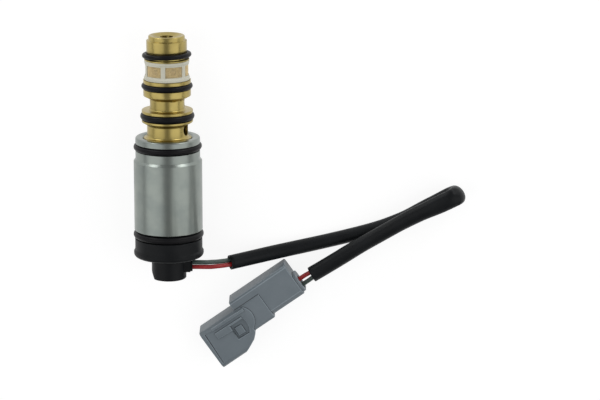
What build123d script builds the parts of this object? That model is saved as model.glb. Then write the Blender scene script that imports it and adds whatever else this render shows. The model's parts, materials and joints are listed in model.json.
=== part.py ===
"""Externally controlled compressor valve with its wire lead and two-way connector.

The valve lies on its side with its brass nose toward +Y. The origin is on the floor,
below the middle of the valve. Lengths are millimetres. A station is a distance along
the valve's axis, measured from the flat end of the moulded boss.
"""

from build123d import *
from math import cos, pi, radians, sin, tan
import os

# Overall frame
VALVE_LENGTH = 87.1
AXIS_HEIGHT = 12.35
FOOT_Y = -VALVE_LENGTH / 2

# Solenoid case
CASE_RADIUS = 12.0
CASE_FOOT = 17.85
CASE_SHOULDER = 42.6
CASE_TOP = 51.1
COLLAR_RADIUS = 11.33
CASE_BORE = 10.8
COIL_CEILING = 41.5
CORE_SEAT_RADIUS = 6.4
BODY_SEAT_STATION = 45.0
BODY_SEAT_RADIUS = 8.4

# Moulded base cap and its lead exit
BOSS_RADIUS = 6.1
BOSS_HEIGHT = 8.1
RIM_SHOULDER = 10.0
RIM_RADIUS = 12.3
SKIRT_RADIUS = 11.85
CAP_SHOULDER = 14.8
CAP_NECK_RADIUS = 9.7
CAP_TOP = 19.5
SPOUT_REACH = 7.6
SPOUT_FOOT = 2.5
SPOUT_TOP = 8.5
SPOUT_HEIGHT = 6.0
GROMMET_SIZE = (3.8, 3.4)
GROMMET_LIP = (4.4, 4.0)
GROMMET_FACE = 8.3
LEAD_STATION = 4.7

# Sealing rings: station, cord section, outer radius, lean to the side and lean forward
UPPER_RING = (80.2, 1.7, 8.6, 1.6, 1.8)
FILTER_RING = (69.28, 1.9, 8.95, 0.0, 0.0)
MIDDLE_RING = (58.6, 2.5, 9.47, 0.0, 0.0)
CASE_RING = (47.7, 2.15, 11.97, 0.6, 0.0)
BASE_RING = (16.2, 2.6, 12.35, 0.0, 0.0)

# Brass valve body
NECK_RADIUS = 7.15
UPPER_NECK_RADIUS = 6.1
BODY_BORE = 4.0
CHAMBER_RADIUS = 3.4
SCREW_BORE = 2.3
SEAT_RADIUS = 1.5
SEAT_STATION = 67.5
PORT_STATION = 54.1
PORT_RADIUS = 2.15
PORT_AZIMUTH = 71.0
CRANKCASE_PORT_STATION = 63.0
CRANKCASE_PORT_RADIUS = 1.3
FILTER_PORT_STATION = 75.1
FILTER_PORT_RADIUS = 1.1

# Filter ring
FILTER_FOOT = 71.65
FILTER_TOP = 78.45
FILTER_WINDOWS = 6
WINDOW_HALF_ANGLE = 24.0
WINDOW_AZIMUTH = 22.5
WINDOW_FOOT = 73.25
WINDOW_HEIGHT = 3.75
MESH_OUTER = 7.1
MESH_INNER = 6.9
MESH_COLUMNS = 5
MESH_ROWS = 3

# Moving armature: it lifts by STROKE from where it is drawn, which closes the seat
STROKE = 0.8
PLUNGER_RADIUS = 5.2
PLUNGER_FOOT = 22.4
PLUNGER_TOP = 33.3
STEM_RADIUS = 1.2
STEM_FOOT = 26.0
LAND_RADIUS = 2.0
TIP_RADIUS = 0.7
TIP_TOP = 75.1
SPRING_POCKET_RADIUS = 2.8
PLUNGER_POCKET_FLOOR = 31.2
CORE_POLE = PLUNGER_TOP + STROKE + 0.1
CORE_POCKET_ROOF = 36.4

# Coil
BOBBIN_BORE = 5.8
BOBBIN_HUB = 6.8
BOBBIN_RADIUS = 10.6
BOBBIN_FOOT = 22.2
BOBBIN_TOP = 41.3
BOBBIN_FLANGE = 1.2
TERMINAL_WIDTH = 0.8
TERMINAL_OFFSET = 2.2

# Lead
WIRE_RADIUS = 0.75
WIRE_OFFSET = 0.85
PIN_OFFSET = 1.15
SLEEVE_RADIUS = 2.6
SLEEVE_BORE = 2.2
WIRE_END_X = 4.2

# Two-way connector, in its own frame: x toward the mouth, y across, z up
CONNECTOR_CORNER = (40.6, -39.7, 0)
CONNECTOR_HEADING = radians(35.0)
BOX_WIDTH = 12.7
BOX_HEIGHT = 11.5
BOX_LENGTH = 24.0
COLLAR_SIDES = (3.1, 13.6)
COLLAR_START = 13.4
COLLAR_HEIGHT = 12.0
SHROUD_SIDES = (3.1, 18.4)
SHROUD_START = 24.6
SHROUD_HEIGHT = 12.6
MOUTH = 39.1
CAVITY_FLOOR = 27.6
SHROUD_WALL = 1.5
STUB_REACH = 1.1
SEAL_FACE = -0.8
SEAL_SIZE = (5.0, 4.0)
PIN_LINE = 9.1
PIN_HEIGHT = 7.0
CRIMP_START = 2.0
CONTACT_BODY_START = 7.0
CONTACT_BODY_END = 25.6
CONTACT_CHANNEL = 2.0
PIN_TIP = 36.0
BLADE_SIZE = (1.2, 0.8)

SECTION = Plane(origin=(0, FOOT_Y, AXIS_HEIGHT), x_dir=(1, 0, 0), z_dir=(0, 0, 1))
VALVE_AXIS = Axis((0, FOOT_Y, AXIS_HEIGHT), (0, 1, 0))
CONNECTOR = Plane(
    origin=CONNECTOR_CORNER,
    x_dir=(-cos(CONNECTOR_HEADING), -sin(CONNECTOR_HEADING), 0),
    z_dir=(0, 0, 1),
)


def cross_plane(station):
    """Plane across the valve: x is up, y is toward +X, the normal is toward the nose."""
    return Plane(
        origin=(0, FOOT_Y + station, AXIS_HEIGHT), x_dir=(0, 0, 1), z_dir=(0, 1, 0)
    )


def radial_plane(station, azimuth):
    """Plane through the axis whose normal points out at an azimuth from straight up."""
    outward = (sin(radians(azimuth)), 0, cos(radians(azimuth)))
    return Plane(
        origin=(0, FOOT_Y + station, AXIS_HEIGHT), x_dir=(0, 1, 0), z_dir=outward
    )


def connector_plane(along):
    """Plane across the connector: x runs across it, y is up, the normal is its axis."""
    return Plane(
        origin=CONNECTOR.from_local_coords((along, 0, 0)),
        x_dir=CONNECTOR.y_dir,
        z_dir=CONNECTOR.x_dir,
    )


def outline(corners):
    """Draw a closed outline from (x, y, corner radius) triples."""
    points = [(x, y) for x, y, _ in corners]
    FilletPolyline(*points, radius=[corner for _, _, corner in corners], close=True)


def save(piece, label):
    """Name a finished piece and write it to its own file."""
    piece.label = label
    export_step(piece, f"parts/{label}.step")


os.makedirs("parts", exist_ok=True)

# Brass valve body: one turned piece, up the outside and down the bores
with BuildPart() as valve_body:
    with BuildSketch(SECTION):
        with BuildLine():
            outline([
                (BODY_SEAT_RADIUS - 0.02, BODY_SEAT_STATION, 0),
                (BODY_SEAT_RADIUS - 0.02, CASE_TOP - 0.1, 0.2),
                (NECK_RADIUS, CASE_TOP - 0.1, 1.1),
                (NECK_RADIUS, 55.5, 0.6),
                (8.95, 56.6, 0),
                (8.95, 57.3, 0),
                (6.95, 57.3, 0.2),
                (6.95, 59.9, 0.2),
                (8.95, 59.9, 0),
                (8.95, 60.8, 0.15),
                (UPPER_NECK_RADIUS, 60.8, 0.8),
                (UPPER_NECK_RADIUS, 64.7, 0.3),
                (8.3, 65.9, 0),
                (8.3, 68.2, 0),
                (7.0, 68.2, 0.2),
                (7.0, 70.36, 0.2),
                (8.3, 70.36, 0),
                (8.3, FILTER_FOOT - 0.05, 0.1),
                (6.5, FILTER_FOOT - 0.05, 0),
                (6.5, FILTER_TOP + 0.05, 0),
                (7.87, FILTER_TOP + 0.05, 0.1),
                (7.87, 79.0, 0.1),
                (6.85, 79.0, 0.2),
                (6.85, 81.4, 0.1),
                (7.05, 81.4, 0),
                (7.05, 85.4, 0.15),
                (6.35, 85.6, 0),
                (6.35, 86.8, 0),
                (6.05, VALVE_LENGTH, 0),
                (5.5, VALVE_LENGTH, 0),
                (SCREW_BORE, 85.7, 0),
                (SCREW_BORE, 69.5, 0),
                (SEAT_RADIUS, 69.5, 0),
                (SEAT_RADIUS, SEAT_STATION, 0),
                (CHAMBER_RADIUS, SEAT_STATION, 0),
                (CHAMBER_RADIUS, 61.4, 0),
                (BODY_BORE, 61.4, 0),
                (BODY_BORE, BODY_SEAT_STATION, 0),
            ])
        make_face()
    revolve(axis=VALVE_AXIS)
    with BuildSketch(radial_plane(PORT_STATION, PORT_AZIMUTH)):
        Circle(PORT_RADIUS)
    extrude(amount=CASE_RADIUS, both=True, mode=Mode.SUBTRACT)
    with BuildSketch(radial_plane(CRANKCASE_PORT_STATION, 90)):
        Circle(CRANKCASE_PORT_RADIUS)
    extrude(amount=CASE_RADIUS, both=True, mode=Mode.SUBTRACT)
    for azimuth in (WINDOW_AZIMUTH, WINDOW_AZIMUTH + 60, WINDOW_AZIMUTH + 120):
        with BuildSketch(radial_plane(FILTER_PORT_STATION, azimuth)):
            Circle(FILTER_PORT_RADIUS)
        extrude(amount=CASE_RADIUS, both=True, mode=Mode.SUBTRACT)
save(valve_body.part, "valve_body")

# Adjusting screw with a hexagon socket, deep in the nose
SCREW_FOOT = 79.8
SCREW_TOP = 84.2
with BuildPart() as adjusting_screw:
    with BuildSketch(cross_plane(SCREW_FOOT)):
        Circle(SCREW_BORE - 0.02)
    extrude(amount=SCREW_TOP - SCREW_FOOT)
    chamfer(adjusting_screw.edges().filter_by(GeomType.CIRCLE), length=0.3)
    with BuildSketch(cross_plane(SCREW_TOP)):
        RegularPolygon(radius=1.15, side_count=6)
    extrude(amount=-2.4, mode=Mode.SUBTRACT)
save(adjusting_screw.part, "adjusting_screw")


def coil_spring(foot, top, mean_radius, wire_radius, turns):
    """Open-wound compression spring between two stations."""
    height = top - foot - 2 * wire_radius
    base = (0, FOOT_Y + foot + wire_radius, AXIS_HEIGHT)
    with BuildPart() as spring:
        with BuildLine() as coil:
            Helix(height / turns, height, mean_radius, center=base, direction=(0, 1, 0))
        with BuildSketch(Plane(origin=coil.line @ 0, z_dir=coil.line % 0)):
            Circle(wire_radius)
        sweep(path=coil.line, is_frenet=True)
    return spring.part


SPRING_SEAT_FOOT = 74.5
SPRING_SEAT_TOP = 75.3
save(coil_spring(SPRING_SEAT_TOP, SCREW_FOOT, 1.75, 0.2, 4), "opening_spring")
save(coil_spring(PLUNGER_POCKET_FLOOR, CORE_POCKET_ROOF, 2.35, 0.2, 4), "return_spring")

# Spring seat: a flanged cup on the tip of the rod
with BuildPart() as spring_seat:
    with BuildSketch(SECTION):
        with BuildLine():
            outline([
                (0, TIP_TOP, 0),
                (TIP_RADIUS, TIP_TOP, 0),
                (TIP_RADIUS, SPRING_SEAT_FOOT, 0),
                (2.1, SPRING_SEAT_FOOT, 0.1),
                (2.1, SPRING_SEAT_TOP, 0),
                (1.3, SPRING_SEAT_TOP, 0),
                (1.3, 76.1, 0.3),
                (0, 76.1, 0),
            ])
        make_face()
    revolve(axis=VALVE_AXIS)
save(spring_seat.part, "spring_seat")

# Valve rod: stem, guide land, poppet and slim tip in one turned piece
with BuildPart() as valve_rod:
    with BuildSketch(SECTION):
        with BuildLine():
            Polyline(
                (0, STEM_FOOT),
                (STEM_RADIUS, STEM_FOOT),
                (STEM_RADIUS, 55.6),
                (LAND_RADIUS, 56.0),
                (LAND_RADIUS, 62.0),
                (1.3, 62.2),
                (1.3, 62.9),
                (2.4, 63.1),
                (2.4, 65.8),
                (0.9, 67.2),
                (TIP_RADIUS, 67.2),
                (TIP_RADIUS, TIP_TOP),
                (0, TIP_TOP),
                close=True,
            )
        make_face()
    revolve(axis=VALVE_AXIS)
save(valve_rod.part, "valve_rod")

# Guide bush pressed into the body bore
BUSH_FOOT = 56.6
BUSH_TOP = 61.2
with BuildPart() as guide_bush:
    with BuildSketch(SECTION):
        with Locations(((BODY_BORE + LAND_RADIUS) / 2, (BUSH_FOOT + BUSH_TOP) / 2)):
            Rectangle(BODY_BORE - LAND_RADIUS - 0.04, BUSH_TOP - BUSH_FOOT)
    revolve(axis=VALVE_AXIS)
    chamfer(guide_bush.edges().filter_by(GeomType.CIRCLE), length=0.2)
save(guide_bush.part, "guide_bush")

# Filter ring: a snap-on frame with six windows over a mesh sleeve
with BuildPart() as filter_frame:
    with BuildSketch(SECTION):
        with BuildLine():
            outline([
                (MESH_OUTER + 0.02, FILTER_FOOT, 0),
                (8.0, FILTER_FOOT, 0.15),
                (8.0, 72.4, 0),
                (7.68, 73.0, 0),
                (7.68, 77.3, 0),
                (7.85, 77.7, 0),
                (7.85, FILTER_TOP, 0.15),
                (MESH_OUTER + 0.02, FILTER_TOP, 0),
            ])
        make_face()
    revolve(axis=VALVE_AXIS)
    with BuildSketch(cross_plane(WINDOW_FOOT)):
        with PolarLocations(0, FILTER_WINDOWS, start_angle=WINDOW_AZIMUTH):
            reach = CASE_RADIUS
            half_width = reach * tan(radians(WINDOW_HALF_ANGLE))
            Polygon((0, 0), (reach, -half_width), (reach, half_width), align=None)
    extrude(amount=WINDOW_HEIGHT, mode=Mode.SUBTRACT)
save(filter_frame.part, "filter_frame")

with BuildPart() as filter_mesh:
    with BuildSketch(cross_plane(FILTER_FOOT + 0.05)):
        Circle(MESH_OUTER)
        Circle(MESH_INNER, mode=Mode.SUBTRACT)
    extrude(amount=FILTER_TOP - FILTER_FOOT - 0.1)
    gap_pitch = 2 * WINDOW_HALF_ANGLE / MESH_COLUMNS
    gap_half = CASE_RADIUS * tan(radians(0.36 * gap_pitch))
    row_pitch = WINDOW_HEIGHT / MESH_ROWS
    for row in range(MESH_ROWS):
        for column in range(MESH_COLUMNS):
            turn = WINDOW_AZIMUTH + (column - (MESH_COLUMNS - 1) / 2) * gap_pitch
            with BuildSketch(cross_plane(WINDOW_FOOT + (row + 0.14) * row_pitch)):
                with PolarLocations(0, FILTER_WINDOWS, start_angle=turn):
                    Polygon(
                        (0, 0), (CASE_RADIUS, -gap_half), (CASE_RADIUS, gap_half), align=None
                    )
            extrude(amount=0.72 * row_pitch, mode=Mode.SUBTRACT)
save(filter_mesh.part, "filter_mesh")


def seal_ring(station, section, outer_radius, lean, dip):
    """Rubber ring round the axis, leaning by a few degrees where it sits askew."""
    plane = Plane(
        origin=(0, FOOT_Y + station, AXIS_HEIGHT),
        x_dir=(cos(radians(lean)), sin(radians(lean)), 0),
        z_dir=(0, sin(radians(dip)), cos(radians(dip))),
    )
    with BuildPart() as ring:
        with BuildSketch(plane):
            with Locations((outer_radius - section / 2, 0)):
                Circle(section / 2)
        revolve(axis=Axis(plane.origin, plane.y_dir))
    return ring.part


save(seal_ring(*UPPER_RING), "upper_seal_ring")
save(seal_ring(*FILTER_RING), "filter_seal_ring")
save(seal_ring(*MIDDLE_RING), "middle_seal_ring")
save(seal_ring(*CASE_RING), "case_seal_ring")
save(seal_ring(*BASE_RING), "base_seal_ring")

# Solenoid case: a deep cup with a stepped, grooved collar round the valve body
with BuildPart() as solenoid_case:
    with BuildSketch(SECTION):
        with BuildLine():
            outline([
                (CASE_BORE, CASE_FOOT, 0),
                (CASE_RADIUS, CASE_FOOT, 0.25),
                (CASE_RADIUS, CASE_SHOULDER, 0.2),
                (COLLAR_RADIUS, 43.5, 0.2),
                (COLLAR_RADIUS, 46.45, 0.1),
                (9.8, 46.45, 0.2),
                (9.8, 48.95, 0.2),
                (COLLAR_RADIUS, 48.95, 0.1),
                (COLLAR_RADIUS, CASE_TOP, 0.6),
                (9.1, CASE_TOP, 0),
                (BODY_SEAT_RADIUS, 50.5, 0),
                (BODY_SEAT_RADIUS, BODY_SEAT_STATION, 0),
                (CORE_SEAT_RADIUS, BODY_SEAT_STATION, 0),
                (CORE_SEAT_RADIUS, COIL_CEILING, 0),
                (CASE_BORE, COIL_CEILING, 0.5),
            ])
        make_face()
    revolve(axis=VALVE_AXIS)
save(solenoid_case.part, "solenoid_case")

# Magnetic parts inside the coil
with BuildPart() as fixed_core:
    with BuildSketch(SECTION):
        with BuildLine():
            Polyline(
                (SPRING_POCKET_RADIUS, CORE_POLE),
                (5.0, CORE_POLE),
                (5.38, 34.6),
                (5.38, COIL_CEILING),
                (CORE_SEAT_RADIUS - 0.02, COIL_CEILING),
                (CORE_SEAT_RADIUS - 0.02, BODY_SEAT_STATION),
                (STEM_RADIUS + 0.1, BODY_SEAT_STATION),
                (STEM_RADIUS + 0.1, CORE_POCKET_ROOF),
                (SPRING_POCKET_RADIUS, CORE_POCKET_ROOF),
                close=True,
            )
        make_face()
    revolve(axis=VALVE_AXIS)
save(fixed_core.part, "fixed_core")

with BuildPart() as plunger:
    with BuildSketch(cross_plane(PLUNGER_FOOT)):
        Circle(PLUNGER_RADIUS)
    extrude(amount=PLUNGER_TOP - PLUNGER_FOOT)
    chamfer(plunger.edges().filter_by(GeomType.CIRCLE), length=0.4)
    with BuildSketch(cross_plane(PLUNGER_TOP)):
        Circle(SPRING_POCKET_RADIUS)
    extrude(amount=PLUNGER_POCKET_FLOOR - PLUNGER_TOP, mode=Mode.SUBTRACT)
    with BuildSketch(cross_plane(STEM_FOOT)):
        Circle(STEM_RADIUS)
    extrude(amount=PLUNGER_POCKET_FLOOR - STEM_FOOT, mode=Mode.SUBTRACT)
    with BuildSketch(cross_plane(PLUNGER_FOOT)):
        with PolarLocations(PLUNGER_RADIUS, 2):
            Rectangle(1.2, 1.0)
    extrude(amount=PLUNGER_TOP - PLUNGER_FOOT, mode=Mode.SUBTRACT)
save(plunger.part, "plunger")

with BuildPart() as guide_tube:
    with BuildSketch(SECTION):
        with BuildLine():
            outline([
                (0, 21.8, 0),
                (5.75, 21.8, 0.6),
                (5.75, BOBBIN_TOP, 0),
                (5.4, BOBBIN_TOP, 0),
                (5.4, 22.2, 0.3),
                (0, 22.2, 0),
            ])
        make_face()
    revolve(axis=VALVE_AXIS)
save(guide_tube.part, "guide_tube")


def coil_terminal(side, barrel_station):
    """Bent strip from a wire crimp in the boss, round the guide tube, to the bobbin."""
    middle = AXIS_HEIGHT + side * TERMINAL_OFFSET
    with BuildPart() as terminal:
        with BuildSketch(Plane.XY.offset(middle - TERMINAL_WIDTH / 2)):
            with Locations((0, FOOT_Y)):
                Polygon(
                    (1.9, 3.2), (2.7, 3.2), (2.7, 13.6), (8.3, 13.6),
                    (8.3, 22.9), (7.5, 22.9), (7.5, 14.4), (1.9, 14.4),
                    align=None,
                )
        extrude(amount=TERMINAL_WIDTH)
        with BuildSketch(Plane.YZ.offset(1.9)):
            with Locations((FOOT_Y + barrel_station, (AXIS_HEIGHT + middle) / 2)):
                Rectangle(1.2, TERMINAL_OFFSET)
        extrude(amount=0.8)
        with BuildSketch(Plane.YZ.offset(2.3)):
            with Locations((FOOT_Y + barrel_station, AXIS_HEIGHT)):
                Circle(WIRE_RADIUS - 0.05)
        extrude(amount=WIRE_END_X - 2.3)
    return terminal.part


red_terminal = coil_terminal(-1, LEAD_STATION - WIRE_OFFSET)
green_terminal = coil_terminal(1, LEAD_STATION + WIRE_OFFSET)
save(red_terminal, "red_coil_terminal")
save(green_terminal, "green_coil_terminal")

with BuildPart() as coil_bobbin:
    with BuildSketch(SECTION):
        with BuildLine():
            Polyline(
                (BOBBIN_BORE, BOBBIN_FOOT),
                (BOBBIN_RADIUS, BOBBIN_FOOT),
                (BOBBIN_RADIUS, BOBBIN_FOOT + BOBBIN_FLANGE),
                (BOBBIN_HUB, BOBBIN_FOOT + BOBBIN_FLANGE),
                (BOBBIN_HUB, BOBBIN_TOP - BOBBIN_FLANGE),
                (BOBBIN_RADIUS, BOBBIN_TOP - BOBBIN_FLANGE),
                (BOBBIN_RADIUS, BOBBIN_TOP),
                (BOBBIN_BORE, BOBBIN_TOP),
                close=True,
            )
        make_face()
    revolve(axis=VALVE_AXIS)
    add(red_terminal, mode=Mode.SUBTRACT)
    add(green_terminal, mode=Mode.SUBTRACT)
save(coil_bobbin.part, "coil_bobbin")

with BuildPart() as coil_winding:
    with BuildSketch(cross_plane(BOBBIN_FOOT + BOBBIN_FLANGE)):
        Circle(BOBBIN_RADIUS - 0.4)
        Circle(BOBBIN_HUB, mode=Mode.SUBTRACT)
    extrude(amount=BOBBIN_TOP - BOBBIN_FOOT - 2 * BOBBIN_FLANGE)
save(coil_winding.part, "coil_winding")

with BuildPart() as lower_yoke:
    with BuildSketch(cross_plane(CAP_TOP + 0.1)):
        Circle(CASE_BORE - 0.05)
        Circle(BOBBIN_BORE + 0.05, mode=Mode.SUBTRACT)
    extrude(amount=BOBBIN_FOOT - CAP_TOP - 0.15)
    add(red_terminal, mode=Mode.SUBTRACT)
    add(green_terminal, mode=Mode.SUBTRACT)
save(lower_yoke.part, "lower_yoke")

# Base cap: flange, boss and spout in one moulding, closed over the terminals
with BuildPart() as base_cap:
    with BuildSketch(SECTION):
        with BuildLine():
            outline([
                (0, 0, 0),
                (BOSS_RADIUS, 0, 0.45),
                (BOSS_RADIUS, BOSS_HEIGHT, 0.5),
                (RIM_RADIUS, BOSS_HEIGHT, 1.3),
                (RIM_RADIUS, RIM_SHOULDER, 0.5),
                (SKIRT_RADIUS, RIM_SHOULDER + 0.8, 0.4),
                (SKIRT_RADIUS, CAP_SHOULDER, 0.15),
                (CAP_NECK_RADIUS, CAP_SHOULDER, 0),
                (CAP_NECK_RADIUS, 17.7, 0),
                (CASE_BORE - 0.05, 17.7, 0),
                (CASE_BORE - 0.05, CAP_TOP, 0.3),
                (0, CAP_TOP, 0),
            ])
        make_face()
    revolve(axis=VALVE_AXIS)
    with BuildSketch(Plane.YZ):
        with Locations((FOOT_Y + (SPOUT_FOOT + SPOUT_TOP) / 2, AXIS_HEIGHT)):
            RectangleRounded(SPOUT_TOP - SPOUT_FOOT, SPOUT_HEIGHT, 0.8)
    extrude(amount=SPOUT_REACH)
    with BuildSketch(Plane.YZ.offset(WIRE_END_X)):
        with Locations((FOOT_Y + LEAD_STATION, AXIS_HEIGHT)):
            RectangleRounded(*GROMMET_SIZE, 1.0)
    extrude(amount=SPOUT_REACH - WIRE_END_X, mode=Mode.SUBTRACT)
    with BuildSketch(SECTION):
        Polygon((-BOSS_RADIUS - 1, -1), (-5.0, -1), (-5.0, 0), (-BOSS_RADIUS - 1, 5.2), align=None)
    extrude(amount=BOSS_RADIUS + 1, both=True, mode=Mode.SUBTRACT)
    add(red_terminal, mode=Mode.SUBTRACT)
    add(green_terminal, mode=Mode.SUBTRACT)
save(base_cap.part, "base_cap")

# Lead grommet: a plug in the spout with a thin outer lip and two wire holes
with BuildPart() as lead_grommet:
    with BuildSketch(Plane.YZ.offset(WIRE_END_X)):
        with Locations((FOOT_Y + LEAD_STATION, AXIS_HEIGHT)):
            RectangleRounded(*GROMMET_SIZE, 1.0)
    extrude(amount=SPOUT_REACH - WIRE_END_X)
    with BuildSketch(Plane.YZ.offset(SPOUT_REACH)):
        with Locations((FOOT_Y + LEAD_STATION, AXIS_HEIGHT)):
            RectangleRounded(*GROMMET_LIP, 1.2)
    extrude(amount=GROMMET_FACE - SPOUT_REACH)
    with BuildSketch(Plane.YZ.offset(WIRE_END_X)):
        with Locations((FOOT_Y + LEAD_STATION, AXIS_HEIGHT)):
            with GridLocations(2 * WIRE_OFFSET, 0, 2, 1):
                Circle(WIRE_RADIUS + 0.02)
    extrude(amount=GROMMET_FACE - WIRE_END_X, mode=Mode.SUBTRACT)
save(lead_grommet.part, "lead_grommet")

# Route of the lead's centre line: out of the spout, down to the floor, along it, folded
# back over itself and on to the connector. The last three points lie on the pin line.
PIN_LINE_POINTS = [
    tuple(CONNECTOR.from_local_coords((along, PIN_LINE, PIN_HEIGHT)))
    for along in (-5.8, SEAL_FACE, CRIMP_START)
]
LEAD_ROUTE = [
    (WIRE_END_X, FOOT_Y + LEAD_STATION, AXIS_HEIGHT),
    (10.8, FOOT_Y + LEAD_STATION, AXIS_HEIGHT),
    (15.0, -39.2, 11.2),
    (21.4, -39.2, 8.4),
    (30.4, -37.95, 5.0),
    (39.8, -36.2, 3.1),
    (53.0, -33.4, 2.65),
    (68.7, -29.6, 2.65),
    (80.8, -25.9, 2.65),
    (92.3, -20.1, 2.65),
    (103.1, -14.6, 2.65),
    (103.3, -12.75, 13.3),
    (95.6, -16.75, 12.9),
    (86.0, -21.55, 11.0),
    (75.6, -28.1, 9.1),
    (66.5, -33.7, 7.9),
    (58.1, -39.15, 7.1),
    *PIN_LINE_POINTS,
]
# The green wire's place round the red one, in degrees from the left of the line of
# travel. The fold turns left to right, and a half twist in the return run undoes it.
LAY_ANGLES = [0, 0, -35, -35] + [0] * 7 + [180, 180, 135, 90, 45, 0, 0, 0, 0]
# Half the distance between the two wires at each point
LAY_OFFSETS = [WIRE_OFFSET] * 18 + [PIN_OFFSET] * 2
SLEEVE_ROUTE = LEAD_ROUTE[3:-2]


def wire_route(side):
    """Shift the lead's route to one wire of the pair."""
    points = [Vector(*point) for point in LEAD_ROUTE]
    shifted = []
    for index, point in enumerate(points):
        behind = points[max(index - 1, 0)]
        ahead = points[min(index + 1, len(points) - 1)]
        travel = (ahead - point).normalized() if index == 0 else (point - behind).normalized()
        if 0 < index < len(points) - 1:
            travel = (travel + (ahead - point).normalized()).normalized()
        left = Vector(0, 0, 1).cross(travel).normalized()
        lay = radians(LAY_ANGLES[index])
        across = left * cos(lay) + travel.cross(left) * sin(lay)
        shifted.append(point + across * (side * LAY_OFFSETS[index]))
    return shifted


def swept_tube(name, route, outer_radius, bore_radius=0):
    """Tube along straight runs joined by the largest arcs that the runs allow."""
    points = [Vector(*point) for point in route]
    runs = [ahead - point for point, ahead in zip(points, points[1:])]
    radii = []
    for before, after in zip(runs, runs[1:]):
        half_turn = radians(before.get_angle(after) / 2)
        radii.append(0.45 * min(before.length, after.length) / tan(half_turn))
    print(name, "arc radii", [round(radius, 1) for radius in radii])
    with BuildPart() as tube:
        with BuildLine() as path:
            FilletPolyline(*points, radius=radii)
        centre_line = path.wire()
        with BuildSketch(Plane(origin=centre_line @ 0, z_dir=centre_line % 0)):
            Circle(outer_radius)
            if bore_radius > 0:
                Circle(bore_radius, mode=Mode.SUBTRACT)
        sweep(path=centre_line)
    swept_volume = pi * (outer_radius**2 - bore_radius**2) * centre_line.length
    print(name, "length", round(centre_line.length, 1))
    print(name, "volume over section times length", round(tube.part.volume / swept_volume, 4))
    return tube.part


save(swept_tube("red_wire", wire_route(-1), WIRE_RADIUS), "red_wire")
save(swept_tube("green_wire", wire_route(1), WIRE_RADIUS), "green_wire")
save(swept_tube("wire_sleeve", SLEEVE_ROUTE, SLEEVE_RADIUS, SLEEVE_BORE), "wire_sleeve")

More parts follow.
